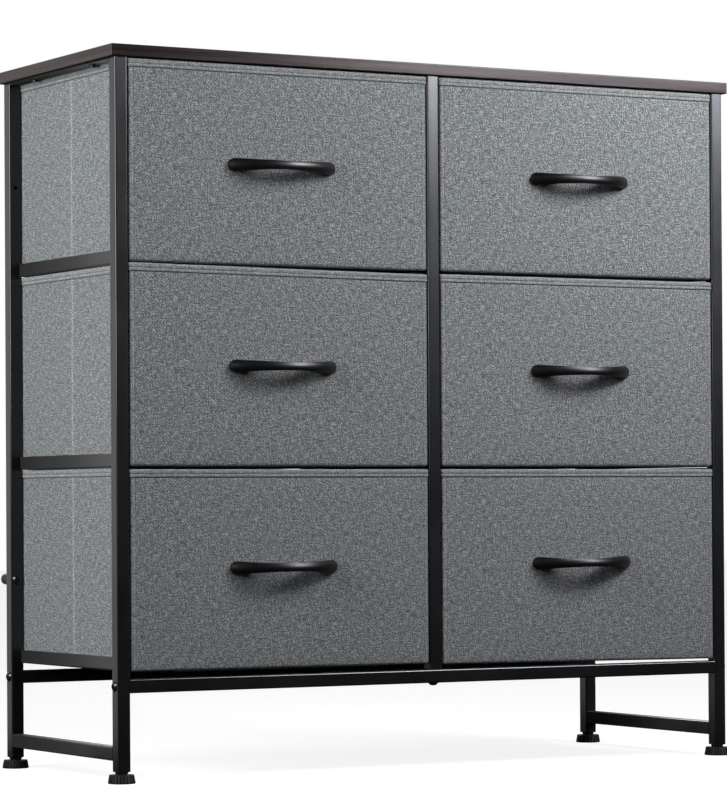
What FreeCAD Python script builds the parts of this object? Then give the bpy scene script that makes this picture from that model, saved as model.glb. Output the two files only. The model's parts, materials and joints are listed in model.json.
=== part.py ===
"""A fabric drawer dresser: a wooden top on a tube frame, with six soft drawers in two columns.

Millimetres, +Z up, +X to the right, -Y towards the person who opens the drawers.
The origin is on the floor under the middle of the dresser.
The frame is welded up as three ladders, left, middle and right, that two bottom rails join.
"""
import FreeCAD, Part
import math
import os
import re

import Sketcher
from FreeCAD import Placement, Rotation, Vector

doc = FreeCAD.newDocument("FabricDresser")

# ---------------------------------------------------------------- driving dimensions

DIMENSIONS = [
    # tabletop
    ("top_width", 803, "tabletop, side to side"),
    ("top_depth", 300, "tabletop, front to back"),
    ("top_thickness", 13, "tabletop board"),
    ("top_side_overhang", 5.5, "tabletop beyond the frame, at each side"),
    ("top_front_overhang", 4, "tabletop beyond the frame, at the front and back"),
    ("top_edge_radius", 1, "eased edge of the tabletop"),
    # square tube
    ("tube_size", 15, "outer side of the square tube"),
    ("tube_wall", 1.2, "wall of the square tube"),
    ("tube_corner", 1.6, "outer corner radius of the square tube"),
    # heights
    ("stretcher_height", 24, "underside of the foot stretchers above the floor"),
    ("rail_height", 96.5, "underside of the bottom rails above the floor"),
    ("runner_height", 119.3, "underside of the lowest runners above the floor"),
    ("bumper_height", 214.5, "axis of the wall bumpers above the floor"),
    ("strap_hole_height", 660, "axis of the wall strap holes above the floor"),
    # runners and top strips, folded from sheet
    ("runner_sheet", 1.5, "thickness of the runners"),
    ("runner_web", 15, "height of a runner's upright web"),
    ("runner_reach", 14, "flange of a runner beyond the inner face of the post"),
    ("runner_recess", 12, "web of a side runner behind the outer face of the posts"),
    ("bend_radius", 0.6, "inside radius of a fold"),
    ("strip_thickness", 2, "flat strip that the tabletop is screwed to"),
    # drawers
    ("drawer_height", 216.5, "fabric bin, outside"),
    ("drawer_side_gap", 1, "between a bin and the posts, each side"),
    ("drawer_rear_gap", 2, "between the back of a bin and the plane behind the posts"),
    ("drawer_head_gap", 1.5, "between a bin and the runner above it"),
    ("top_head_gap", 2.7, "between the highest bins and the tabletop"),
    ("bin_front", 6, "stiffened front wall of a bin"),
    ("bin_wall", 3, "side and back walls of a bin"),
    ("bin_floor", 2, "fabric floor of a bin"),
    ("bin_corner", 4, "rounded upright corners of a bin"),
    ("bin_bottom_edge", 3.5, "rounded bottom edges of a bin"),
    ("board_thickness", 3, "loose board on a bin's floor"),
    ("board_gap", 1, "between the board and the bin's walls"),
    ("board_corner", 4, "corner radius of the board"),
    # bow handle
    ("handle_length", 132, "overall"),
    ("handle_projection", 27, "from the drawer's front"),
    ("handle_grip", 7.5, "thickness of the bow at its middle"),
    ("handle_foot", 24, "length of each foot on the drawer's front"),
    ("handle_end_height", 14.5, "height of the bow over its feet"),
    ("handle_mid_height", 9, "height of the bow at its middle"),
    ("handle_lip", 4, "thickness of the bow at its very ends"),
    ("handle_trim", 1, "blank above and below the finished bow, trimmed off"),
    ("handle_end_round", 6, "rounding of the ends, seen from the front"),
    ("handle_crown", 9.5, "radius of the bow's rounded face, seen from its end"),
    ("handle_spacing", 104, "between the two handle screws"),
    ("handle_screw_grip", 9, "length of a screw inside the handle"),
    ("handle_screw_radius", 2, "M4"),
    ("handle_screw_head", 4.5, "head radius of a handle screw"),
    ("handle_screw_head_height", 2, "head height of a handle screw"),
    ("handle_hole_gap", 0.3, "clearance of a screw in the bin's front"),
    # levelling feet
    ("foot_radius", 15, "foot base at the floor"),
    ("foot_top_radius", 13.4, "foot base at its upper rim"),
    ("foot_height", 9.5, "foot base without its neck"),
    ("foot_edge", 0.8, "chamfer of the foot base at the floor"),
    ("foot_floor", 2, "plastic under the stud"),
    ("foot_ribs", 24, "grip grooves round the foot base"),
    ("foot_groove", 0.8, "depth of a grip groove at the top of the base"),
    ("neck_height", 2.5, "conical neck on the foot base"),
    ("neck_low_radius", 6.2, "neck where it leaves the base"),
    ("neck_high_radius", 7.4, "neck under the post"),
    ("foot_gap", 0.5, "between the neck and the post at rest"),
    ("stud_radius", 4, "M8"),
    ("stud_spare", 8, "stud above the insert at rest"),
    ("thread_clearance", 0.05, "radial running clearance of the stud"),
    ("insert_length", 12, "threaded insert in the end of a tube"),
    # frame bolts
    ("bolt_radius", 3, "M6"),
    ("bolt_hole_gap", 0.3, "radial clearance of a bolt in a tube's wall"),
    ("bolt_head_radius", 5.8, "domed head"),
    ("bolt_head_height", 3.4, "domed head"),
    ("bolt_grip", 12, "length of a bolt beyond the tube it passes through"),
    ("socket_flats", 4, "hexagon socket across its flats"),
    ("socket_depth", 2, "hexagon socket"),
    # tabletop screws
    ("wood_screw_radius", 1.9, "shank"),
    ("wood_screw_head", 3.8, "head radius"),
    ("wood_screw_head_height", 2.2, "head height"),
    ("wood_screw_grip", 9, "length inside the tabletop"),
    # wall bumpers and strap holes
    ("bumper_length", 27, "from the back of the post to the tip"),
    ("bumper_radius", 6.2, "body of the bumper"),
    ("bumper_nose", 10, "length of the conical nose"),
    ("bumper_tip_radius", 1.2, "blunt tip"),
    ("strap_hole_radius", 2.25, "hole for a wall strap's screw"),
]

sheet = doc.addObject("Spreadsheet::Sheet", "Dims")
for row, (alias, number, meaning) in enumerate(DIMENSIONS, start=1):
    sheet.set("A%d" % row, meaning)
    sheet.set("B%d" % row, str(number))
    sheet.setAlias("B%d" % row, alias)
doc.recompute()


ALIASES = {entry[0] for entry in DIMENSIONS}


def dim(formula):
    """Turn a formula of plain aliases into an expression that reads the sheet."""
    return re.sub(r"[a-z_]+", lambda word: "Dims." + word[0] if word[0] in ALIASES else word[0], formula)


def value(formula):
    """The number that a formula of aliases stands for now."""
    return float(sheet.evalExpression(dim(formula)))


# ---------------------------------------------------------------- places that pieces share

FRAME_WIDTH = "(top_width - 2 * top_side_overhang)"
FRAME_DEPTH = "(top_depth - 2 * top_front_overhang)"
BAY_WIDTH = "((%s - 3 * tube_size) / 2)" % FRAME_WIDTH
BORE = "(tube_size - 2 * tube_wall)"
SIDE_X = "((%s - tube_size) / 2)" % FRAME_WIDTH
POST_Y = "((%s - tube_size) / 2)" % FRAME_DEPTH
POST_BOTTOM = "(foot_height + neck_height + foot_gap)"
RAIL_TOP = "(rail_height + tube_size)"
BIN_WIDTH = "(%s - 2 * drawer_side_gap)" % BAY_WIDTH
BIN_DEPTH = "(%s - drawer_rear_gap)" % FRAME_DEPTH
ROW_PITCH = "(drawer_height + drawer_head_gap + runner_sheet)"
LOW_BIN = "(runner_height + runner_sheet)"
POST_TOP = "(%s + 2 * %s + drawer_height + top_head_gap)" % (LOW_BIN, ROW_PITCH)
RUNNER_LENGTH = "(%s - 2 * tube_size)" % FRAME_DEPTH
RAIL_LENGTH = "(%s - 2 * tube_size)" % FRAME_WIDTH
BIN_X = "((%s + tube_size) / 2)" % BAY_WIDTH
TOP_SCREW_Y = "(top_depth / 4)"

SIDES = {"left": "-1", "right": "1"}
ENDS = {"front": "-1", "rear": "1"}
ROWS = ("lower", "middle", "upper")

parts = []


# ---------------------------------------------------------------- helpers

def new_body(label):
    """Start a sub-part that PartDesign features build up."""
    body = doc.addObject("PartDesign::Body", label)
    body.Label = label
    parts.append(body)
    return body


def new_sketch(body, name, plane, offset=None):
    """Start a sketch on one of the body's origin planes, moved along its normal by a formula."""
    sketch = body.newObject("Sketcher::SketchObject", name)
    base = next(item for item in body.Origin.OriginFeatures if item.Role == plane)
    sketch.AttachmentSupport = (base, [""])
    sketch.MapMode = "FlatFace"
    if offset:
        sketch.setExpression("AttachmentOffset.Base.z", dim(offset))
    return sketch


def pin(sketch, line, end, x_formula, y_formula):
    """Tie one end of a line or arc to a place that two formulas give."""
    for kind, formula in (("DistanceX", x_formula), ("DistanceY", y_formula)):
        number = sketch.addConstraint(Sketcher.Constraint(kind, -1, 1, line, end, value(formula)))
        sketch.setExpression("Constraints[%d]" % number, dim(formula))


def add_outline(sketch, points):
    """Draw a closed outline through points that are pairs of formulas."""
    first = sketch.GeometryCount
    places = [Vector(value(x), value(y), 0) for x, y in points]
    for start, end in zip(places, places[1:] + places[:1]):
        sketch.addGeometry(Part.LineSegment(start, end))
    for index, (x, y) in enumerate(points):
        before = first + (index - 1) % len(points)
        sketch.addConstraint(Sketcher.Constraint("Coincident", before, 2, first + index, 1))
        pin(sketch, first + index, 1, x, y)


def add_rectangle(sketch, width, depth):
    """Draw a rectangle centred on the sketch's origin."""
    low_x, high_x = "-(%s) / 2" % width, "(%s) / 2" % width
    low_y, high_y = "-(%s) / 2" % depth, "(%s) / 2" % depth
    add_outline(sketch, [(low_x, low_y), (high_x, low_y), (high_x, high_y), (low_x, high_y)])


def add_circle(sketch, x_formula, y_formula, radius):
    """Draw a circle whose centre and radius are formulas."""
    centre = Vector(value(x_formula), value(y_formula), 0)
    circle = sketch.addGeometry(Part.Circle(centre, Vector(0, 0, 1), value(radius)))
    pin(sketch, circle, 3, x_formula, y_formula)
    number = sketch.addConstraint(Sketcher.Constraint("Radius", circle, value(radius)))
    sketch.setExpression("Constraints[%d]" % number, dim(radius))


def add_arc(sketch, start, through, end):
    """Draw an arc that runs anticlockwise through three places that are pairs of formulas."""
    places = [Vector(value(x), value(y), 0) for x, y in (start, through, end)]
    arc = sketch.addGeometry(Part.Arc(*places))
    pin(sketch, arc, 1, *start)
    pin(sketch, arc, 2, *end)
    middle = sketch.addGeometry(Part.Point(places[1]), True)
    pin(sketch, middle, 1, *through)
    sketch.addConstraint(Sketcher.Constraint("PointOnObject", middle, 1, arc))


def add_line(sketch, start, end, construction=False):
    """Draw a line between two places that are pairs of formulas."""
    places = [Vector(value(x), value(y), 0) for x, y in (start, end)]
    line = sketch.addGeometry(Part.LineSegment(*places), construction)
    pin(sketch, line, 1, *start)
    pin(sketch, line, 2, *end)


def pad(body, sketch, length, centred=False):
    """Raise a sketch by a length."""
    feature = body.newObject("PartDesign::Pad", sketch.Name + "Pad")
    feature.Profile = sketch
    feature.setExpression("Length", dim(length))
    feature.SideType = "Symmetric" if centred else "One side"
    doc.recompute()
    return feature


def cut(body, sketch, depth=None, reverse=False):
    """Cut a sketch into the body, right through both ways or by a depth, and check that it cut."""
    before = body.Tip.Shape.Volume
    feature = body.newObject("PartDesign::Pocket", sketch.Name + "Pocket")
    feature.Profile = sketch
    if depth:
        feature.setExpression("Length", dim(depth))
        feature.Reversed = reverse
    else:
        feature.Type = "ThroughAll"
        feature.SideType = "Symmetric"
    doc.recompute()
    if feature.Shape.Volume >= before:
        raise RuntimeError("%s cuts nothing" % feature.Name)
    return feature


def revolve(body, sketch, axis="V_Axis"):
    """Turn a half profile round the sketch's upright axis, or round a construction line in it."""
    feature = body.newObject("PartDesign::Revolution", sketch.Name + "Turn")
    feature.Profile = sketch
    feature.ReferenceAxis = (sketch, [axis])
    feature.Angle = 360
    doc.recompute()
    return feature


def round_edges(body, keep, radius, name):
    """Fillet the edges of the body's tip that a test picks out."""
    base = body.Tip
    edges = ["Edge%d" % number for number, edge in enumerate(base.Shape.Edges, start=1) if keep(edge)]
    feature = body.newObject("PartDesign::Fillet", name)
    feature.Base = (base, edges)
    feature.setExpression("Radius", dim(radius))
    doc.recompute()
    return feature


def runs_along(edge, axis):
    """True for a straight edge parallel to an axis."""
    if not isinstance(edge.Curve, Part.Line):
        return False
    return abs(abs(edge.Curve.Direction.dot(axis)) - 1) < 1e-6


def place(item, x, y, z, turn=Rotation()):
    """Set where a sub-part stands: a formula for each axis, and a turn."""
    item.Placement = Placement(Vector(value(x), value(y), value(z)), turn)
    for axis, formula in (("x", x), ("y", y), ("z", z)):
        item.setExpression(".Placement.Base." + axis, dim(formula))


def group(label, shape, places):
    """A node of identical pieces: copies of one solid, each with a place of its own."""
    copies = []
    for x, y, z, turn in places:
        copy = shape.copy()
        copy.Placement = Placement(Vector(value(x), value(y), value(z)), turn)
        copies.append(copy)
    item = doc.addObject("Part::Feature", label)
    item.Label = label
    item.Shape = Part.makeCompound(copies)
    parts.append(item)
    return item


X_AXIS, Y_AXIS, Z_AXIS = Vector(1, 0, 0), Vector(0, 1, 0), Vector(0, 0, 1)
ALONG_X = Rotation(Y_AXIS, 90)
ALONG_Y = Rotation(X_AXIS, -90)
HALF_TURN = Rotation(Z_AXIS, 180)


# ---------------------------------------------------------------- tube frame

def tube(label, length, holes=()):
    """Square tube that stands on its origin, with (plane, height, radius) holes through it."""
    body = new_body(label)
    section = new_sketch(body, label + "_section", "XY_Plane")
    add_rectangle(section, "tube_size", "tube_size")
    add_rectangle(section, BORE, BORE)
    pad(body, section, length)
    outer = value("tube_size") / 2

    def is_outer_corner(edge):
        return runs_along(edge, Z_AXIS) and abs(edge.Vertexes[0].X) > outer - 1e-6

    round_edges(body, is_outer_corner, "tube_corner", label + "_corners")
    for number, (plane, height, radius) in enumerate(holes):
        drilling = new_sketch(body, "%s_hole_%d" % (label, number), plane)
        add_circle(drilling, "0", height, radius)
        cut(body, drilling)
    return body


BOLT_HOLE = "bolt_radius + bolt_hole_gap"
RAIL_AXIS = "(rail_height + tube_size / 2)"
RAIL_BOLT_HOLE = ("YZ_Plane", "%s - %s" % (RAIL_AXIS, POST_BOTTOM), BOLT_HOLE)
BUMPER_HOLE = ("XZ_Plane", "bumper_height - " + POST_BOTTOM, BOLT_HOLE)
STRAP_HOLE = ("XZ_Plane", "strap_hole_height - " + POST_BOTTOM, "strap_hole_radius")


def make_posts():
    """Four corner posts on feet, and two middle posts that stand on the bottom rails."""
    for end, toward in ENDS.items():
        holes = [RAIL_BOLT_HOLE]
        if end == "rear":
            holes += [BUMPER_HOLE, STRAP_HOLE]
        for side, outward in SIDES.items():
            post = tube("%s_%s_post" % (side, end), "%s - %s" % (POST_TOP, POST_BOTTOM), holes)
            place(post, "%s * %s" % (outward, SIDE_X), "%s * %s" % (toward, POST_Y), POST_BOTTOM)
        middle = tube("middle_%s_post" % end, "%s - %s" % (POST_TOP, RAIL_TOP))
        place(middle, "0", "%s * %s" % (toward, POST_Y), RAIL_TOP)


def make_rails():
    """Bottom rails between the corner posts, and foot stretchers between front and back."""
    centre_hole = ("YZ_Plane", "%s / 2" % RAIL_LENGTH, BOLT_HOLE)
    for end, toward in ENDS.items():
        rail = tube("%s_bottom_rail" % end, RAIL_LENGTH, [centre_hole])
        place(rail, "-%s / 2" % RAIL_LENGTH, "%s * %s" % (toward, POST_Y), RAIL_AXIS, ALONG_X)
    for side, outward in SIDES.items():
        stretcher = tube("%s_foot_stretcher" % side, RUNNER_LENGTH)
        height = "stretcher_height + tube_size / 2"
        place(stretcher, "%s * %s" % (outward, SIDE_X), "-%s / 2" % RUNNER_LENGTH, height, ALONG_Y)


# ---------------------------------------------------------------- runners and strips

def fold_edges(body, label, corners):
    """Round the folds of a sheet profile: (x, z, is_outside) for each fold line."""
    for number, (x, z, outside) in enumerate(corners):
        def on_fold(edge):
            start = edge.Vertexes[0]
            near = abs(start.X - value(x)) < 1e-5 and abs(start.Z - value(z)) < 1e-5
            return near and runs_along(edge, Y_AXIS)
        radius = "bend_radius + runner_sheet" if outside else "bend_radius"
        round_edges(body, on_fold, radius, "%s_fold_%d" % (label, number))


def side_runner(label):
    """Angle runner: an upright web near the inner face of the posts, and a flange under the bins."""
    body = new_body(label)
    profile = new_sketch(body, label + "_profile", "XZ_Plane")
    outer, inner = "runner_recess - tube_size / 2", "runner_recess - tube_size / 2 + runner_sheet"
    reach = "tube_size / 2 + runner_reach"
    add_outline(profile, [
        (outer, "0"), (reach, "0"), (reach, "runner_sheet"),
        (inner, "runner_sheet"), (inner, "runner_web"), (outer, "runner_web"),
    ])
    pad(body, profile, RUNNER_LENGTH, centred=True)
    fold_edges(body, label, [(outer, "0", True), (inner, "runner_sheet", False)])
    return body


def middle_runner(label):
    """Hat-section runner: a raised web between the middle posts and a flange for each column."""
    body = new_body(label)
    profile = new_sketch(body, label + "_profile", "XZ_Plane")
    half = "tube_size / 2"
    inside = "tube_size / 2 - runner_sheet"
    reach = "tube_size / 2 + runner_reach"
    under = "runner_web - runner_sheet"
    right = [
        (inside, under), (inside, "0"), (reach, "0"), (reach, "runner_sheet"),
        (half, "runner_sheet"), (half, "runner_web"),
    ]
    left = [("-(%s)" % x, z) for x, z in reversed(right)]
    add_outline(profile, right + left)
    pad(body, profile, RUNNER_LENGTH, centred=True)
    folds = []
    for sign in ("", "-"):
        folds += [
            ("%s(%s)" % (sign, inside), "0", True),
            ("%s(%s)" % (sign, half), "runner_sheet", False),
            ("%s(%s)" % (sign, inside), under, False),
            ("%s(%s)" % (sign, half), "runner_web", True),
        ]
    fold_edges(body, label, folds)
    return body


def make_runners():
    """Three levels of runners on each ladder."""
    for level, row in enumerate(ROWS):
        height = "runner_height + %d * %s" % (level, ROW_PITCH)
        place(side_runner("left_%s_runner" % row), "-" + SIDE_X, "0", height)
        place(side_runner("right_%s_runner" % row), SIDE_X, "0", height, HALF_TURN)
        place(middle_runner("middle_%s_runner" % row), "0", "0", height)


def make_top_strips():
    """Flat strips between the heads of the posts, drilled for the tabletop's screws."""
    columns = {"left": "-" + SIDE_X, "middle": "0", "right": SIDE_X}
    for side, x in columns.items():
        label = side + "_top_strip"
        body = new_body(label)
        outline = new_sketch(body, label + "_outline", "XY_Plane")
        add_rectangle(outline, "tube_size", RUNNER_LENGTH)
        for sign in ("-", ""):
            add_circle(outline, "0", sign + TOP_SCREW_Y, "wood_screw_radius")
        pad(body, outline, "strip_thickness")
        place(body, x, "0", "%s - strip_thickness" % POST_TOP)


# ---------------------------------------------------------------- tabletop

def make_tabletop():
    """The board, with eased edges and a blind pilot hole for each screw."""
    body = new_body("tabletop")
    outline = new_sketch(body, "tabletop_outline", "XY_Plane")
    add_rectangle(outline, "top_width", "top_depth")
    pad(body, outline, "top_thickness")
    round_edges(body, lambda edge: True, "top_edge_radius", "tabletop_edges")
    pilots = new_sketch(body, "tabletop_pilots", "XY_Plane")
    for x in ("-" + SIDE_X, "0", SIDE_X):
        for sign in ("-", ""):
            add_circle(pilots, x, sign + TOP_SCREW_Y, "wood_screw_radius")
    cut(body, pilots, "wood_screw_grip", reverse=True)
    place(body, "0", "0", POST_TOP)


# ---------------------------------------------------------------- fasteners and plugs

def screw(head_radius, head_height, shank_radius, length):
    """Plain screw: its flat head under Z = 0 and its shank above."""
    head = Part.makeCylinder(head_radius, head_height, Vector(0, 0, -head_height))
    return head.fuse(Part.makeCylinder(shank_radius, length))


def frame_bolt():
    """M6 bolt with a hexagon socket in its domed head: the head under Z = 0 and the shank above."""
    head_radius, head_height = value("bolt_head_radius"), value("bolt_head_height")
    ball = (head_radius ** 2 + head_height ** 2) / (2 * head_height)
    sphere = Part.makeSphere(ball, Vector(0, 0, ball - head_height))
    dome = sphere.common(Part.makeCylinder(head_radius, head_height, Vector(0, 0, -head_height)))
    bolt = dome.fuse(Part.makeCylinder(value("bolt_radius"), value("tube_size + bolt_grip")))
    corner = value("socket_flats") / math.sqrt(3)
    ring = [Vector(corner, 0, -head_height)]
    for _ in range(6):
        last = ring[-1]
        ring.append(Rotation(Z_AXIS, 60).multVec(last))
    socket = Part.Face(Part.makePolygon(ring)).extrude(Vector(0, 0, value("socket_depth")))
    return bolt.cut(socket)


def make_fasteners():
    """Bolts of the frame and the bumpers, and the screws that hold the tabletop."""
    half_width, half_depth = "%s / 2" % FRAME_WIDTH, "(%s / 2)" % FRAME_DEPTH
    places = []
    for toward in ENDS.values():
        y = "%s * %s" % (toward, POST_Y)
        places.append(("-" + half_width, y, RAIL_AXIS, ALONG_X))
        places.append((half_width, y, RAIL_AXIS, Rotation(Y_AXIS, -90)))
        places.append(("0", y, "rail_height", Rotation()))
    for outward in SIDES.values():
        x = "%s * %s" % (outward, SIDE_X)
        places.append((x, half_depth + " - tube_size", "bumper_height", ALONG_Y))
    group("frame_bolts", frame_bolt(), places)

    wood_screw = screw(
        value("wood_screw_head"), value("wood_screw_head_height"),
        value("wood_screw_radius"), value("strip_thickness + wood_screw_grip"))
    under_strip = "%s - strip_thickness" % POST_TOP
    places = []
    for x in ("-" + SIDE_X, "0", SIDE_X):
        for sign in ("-", ""):
            places.append((x, sign + TOP_SCREW_Y, under_strip, Rotation()))
    group("tabletop_screws", wood_screw, places)


def plug(hole_radius):
    """Square plug for the bore of a tube, with a threaded hole along it."""
    side, length = value(BORE), value("insert_length")
    block = Part.makeBox(side, side, length, Vector(-side / 2, -side / 2, 0))
    return block.cut(Part.makeCylinder(value(hole_radius), length))


def make_plugs():
    """Threaded plugs in the ends of the bottom rails, the middle posts and the corner posts."""
    places = []
    for toward in ENDS.values():
        y = "%s * %s" % (toward, POST_Y)
        places.append(("-%s / 2" % RAIL_LENGTH, y, RAIL_AXIS, ALONG_X))
        places.append(("%s / 2" % RAIL_LENGTH, y, RAIL_AXIS, Rotation(Y_AXIS, -90)))
        places.append(("0", y, RAIL_TOP, Rotation()))
    group("rail_and_post_plugs", plug("bolt_radius"), places)
    corners = []
    for toward in ENDS.values():
        for outward in SIDES.values():
            x, y = "%s * %s" % (outward, SIDE_X), "%s * %s" % (toward, POST_Y)
            corners.append((x, y, POST_BOTTOM, Rotation()))
    group("foot_inserts", plug("stud_radius + thread_clearance"), corners)


def make_bumpers():
    """Conical rubber bumpers that keep the back of the dresser off the wall."""
    length, radius = value("bumper_length"), value("bumper_radius")
    nose, tip = value("bumper_nose"), value("bumper_tip_radius")
    stem = Part.makeCylinder(radius, length - nose)
    cone = Part.makeCone(radius, tip, nose, Vector(0, 0, length - nose))
    bore = Part.makeCylinder(value("bolt_radius"), value("bolt_grip"))
    bumper = stem.fuse(cone).removeSplitter().cut(bore)
    places = []
    for outward in SIDES.values():
        x = "%s * %s" % (outward, SIDE_X)
        places.append((x, "%s / 2" % FRAME_DEPTH, "bumper_height", ALONG_Y))
    group("wall_bumpers", bumper, places)


# ---------------------------------------------------------------- levelling feet

def foot_base(label):
    """Ribbed plastic base of a levelling foot, with a conical neck and a blind bore."""
    body = new_body(label)
    profile = new_sketch(body, label + "_profile", "XZ_Plane")
    bore = "(stud_radius + thread_clearance)"
    top = "(foot_height + neck_height)"
    add_outline(profile, [
        ("0", "0"), ("foot_radius - foot_edge", "0"), ("foot_radius", "foot_edge"),
        ("foot_top_radius", "foot_height"), ("neck_low_radius", "foot_height"),
        ("neck_high_radius", top), (bore, top), (bore, "foot_floor"), ("0", "foot_floor"),
    ])
    revolve(body, profile)
    rim = new_sketch(body, label + "_groove", "XY_Plane")
    root = "foot_top_radius - foot_groove"
    add_outline(rim, [(root, "0"), ("foot_radius", "-foot_groove"), ("foot_radius", "foot_groove")])
    groove = cut(body, rim, "foot_height", reverse=True)
    ring = body.newObject("PartDesign::PolarPattern", label + "_grooves")
    ring.Originals = [groove]
    ring.Axis = (profile, ["V_Axis"])
    ring.Angle = 360
    ring.setExpression("Occurrences", dim("foot_ribs"))
    body.Tip = ring
    doc.recompute()
    return body


def foot_stud(label):
    """M8 stud that rises from the base through the insert into the post."""
    body = new_body(label)
    section = new_sketch(body, label + "_section", "XY_Plane", "foot_floor")
    add_circle(section, "0", "0", "stud_radius")
    pad(body, section, "%s + insert_length + stud_spare - foot_floor" % POST_BOTTOM)
    return body


def make_feet():
    """A levelling foot under each corner post: the base turns, and the stud rises with it."""
    for side, outward in SIDES.items():
        for end, toward in ENDS.items():
            x, y = "%s * %s" % (outward, SIDE_X), "%s * %s" % (toward, POST_Y)
            place(foot_base("%s_%s_foot_base" % (side, end)), x, y, "0")
            place(foot_stud("%s_%s_foot_stud" % (side, end)), x, y, "0")


# ---------------------------------------------------------------- drawers

def fabric_bin(label):
    """Sewn fabric bin over stiff panels: open at the top, its front face on Y = 0."""
    body = new_body(label)
    outline = new_sketch(body, label + "_outline", "XY_Plane")
    half = "%s / 2" % BIN_WIDTH
    add_outline(outline, [
        ("-" + half, "0"), (half, "0"), (half, BIN_DEPTH), ("-" + half, BIN_DEPTH),
    ])
    pad(body, outline, "drawer_height")
    round_edges(body, lambda edge: runs_along(edge, Z_AXIS), "bin_corner", label + "_corners")
    round_edges(body, lambda edge: edge.BoundBox.ZMax < 1e-6, "bin_bottom_edge", label + "_bottom_edge")
    hollow = new_sketch(body, label + "_hollow", "XY_Plane", "bin_floor")
    inner_half, inner_back = half + " - bin_wall", BIN_DEPTH + " - bin_wall"
    add_outline(hollow, [
        ("-(%s)" % inner_half, "bin_front"), (inner_half, "bin_front"),
        (inner_half, inner_back), ("-(%s)" % inner_half, inner_back),
    ])
    cut(body, hollow, "drawer_height - bin_floor", reverse=True)
    holes = new_sketch(body, label + "_handle_holes", "XZ_Plane")
    for sign in ("-", ""):
        radius = "handle_screw_radius + handle_hole_gap"
        add_circle(holes, sign + "handle_spacing / 2", "drawer_height / 2", radius)
    cut(body, holes, "bin_front")
    return body


def base_board(label):
    """Loose board that keeps the bin's floor flat."""
    body = new_body(label)
    outline = new_sketch(body, label + "_outline", "XY_Plane")
    half = "(%s / 2 - bin_wall - board_gap)" % BIN_WIDTH
    front, back = "bin_front + board_gap", BIN_DEPTH + " - bin_wall - board_gap"
    add_outline(outline, [("-" + half, front), (half, front), (half, back), ("-" + half, back)])
    pad(body, outline, "board_thickness")
    round_edges(body, lambda edge: runs_along(edge, Z_AXIS), "board_corner", label + "_corners")
    return body


def plus(formula):
    """The formula as it is, for the positive one of two mirrored places."""
    return formula


def minus(formula):
    """The formula with its sign changed, for the negative one of two mirrored places."""
    return "-(%s)" % formula


def bow_handle(label):
    """Bow handle: an arched bar with a crowned face, narrow at its middle, its feet on Y = 0."""
    body = new_body(label)
    rise = "(handle_projection - handle_lip)"
    bow = "(((handle_length / 2) ^ 2 + %s ^ 2) / (2 * %s))" % (rise, rise)
    hub = "(%s - handle_projection)" % bow
    brim = "(handle_end_height / 2 + handle_trim)"
    crest = "(%s + %s)" % (hub, bow)
    rim = "(%s - handle_crown + sqrt(handle_crown ^ 2 - %s ^ 2))" % (crest, brim)
    disc = new_sketch(body, label + "_disc", "YZ_Plane")
    add_arc(disc, (rim, minus(brim)), (crest, "0"), (rim, brim))
    add_line(disc, (rim, brim), (hub, brim))
    add_line(disc, (hub, brim), (hub, minus(brim)))
    add_line(disc, (hub, minus(brim)), (rim, minus(brim)))
    add_line(disc, (hub, "0"), (hub, brim), construction=True)
    revolve(body, disc, "Axis0")

    plan = new_sketch(body, label + "_plan", "XY_Plane")
    inner, hollow = "(handle_length / 2 - handle_foot)", minus("handle_projection - handle_grip")
    beyond = "(2 * %s)" % bow
    add_arc(plan, (minus(inner), "0"), ("0", hollow), (inner, "0"))
    add_line(plan, (inner, "0"), (beyond, "0"))
    add_line(plan, (beyond, "0"), (beyond, beyond))
    add_line(plan, (beyond, beyond), (minus(beyond), beyond))
    add_line(plan, (minus(beyond), beyond), (minus(beyond), "0"))
    add_line(plan, (minus(beyond), "0"), (minus(inner), "0"))
    cut(body, plan)

    front = new_sketch(body, label + "_front", "XZ_Plane")
    outer, tall = "handle_length / 2", "handle_end_height / 2"
    shoulder, waist = "handle_length / 2 - handle_end_round", "handle_mid_height / 2"
    for side in (plus, minus):
        flip = minus if side is plus else plus
        add_arc(front, (flip(shoulder), side(tall)), ("0", side(waist)), (side(shoulder), side(tall)))
        add_arc(front, (side(shoulder), flip(tall)), (side(outer), "0"), (side(shoulder), side(tall)))
    add_rectangle(front, "2 * handle_length", "2 * handle_end_height")
    cut(body, front)

    pilots = new_sketch(body, label + "_pilots", "XZ_Plane")
    for side in (plus, minus):
        add_circle(pilots, side("handle_spacing / 2"), "0", "handle_screw_radius")
    cut(body, pilots, "handle_screw_grip", reverse=True)
    return body


def handle_screws(label, x, y, z):
    """The two screws that hold a handle from inside the bin."""
    shape = screw(
        value("handle_screw_head"), value("handle_screw_head_height"),
        value("handle_screw_radius"), value("bin_front + handle_screw_grip"))
    toward_front = Rotation(X_AXIS, 90)
    places = []
    for sign in ("-", "+"):
        places.append(("%s %s handle_spacing / 2" % (x, sign), y + " + bin_front", z, toward_front))
    group(label, shape, places)


def make_drawers():
    """Two columns of three drawers, each with its board, handle and screws."""
    front = "-%s / 2" % FRAME_DEPTH
    for level, row in enumerate(ROWS):
        floor = "%s + %d * %s" % (LOW_BIN, level, ROW_PITCH)
        for side, outward in SIDES.items():
            name = "%s_%s_drawer" % (row, side)
            x = "%s * %s" % (outward, BIN_X)
            grip_height = "%s + drawer_height / 2" % floor
            place(fabric_bin(name + "_bin"), x, front, floor)
            place(base_board(name + "_board"), x, front, floor + " + bin_floor")
            place(bow_handle(name + "_handle"), x, front, grip_height)
            handle_screws(name + "_handle_screws", x, front, grip_height)


# ---------------------------------------------------------------- build, check and write

make_posts()
make_rails()
make_runners()
make_top_strips()
make_tabletop()
make_fasteners()
make_plugs()
make_bumpers()
make_feet()
make_drawers()
doc.recompute()

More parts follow.
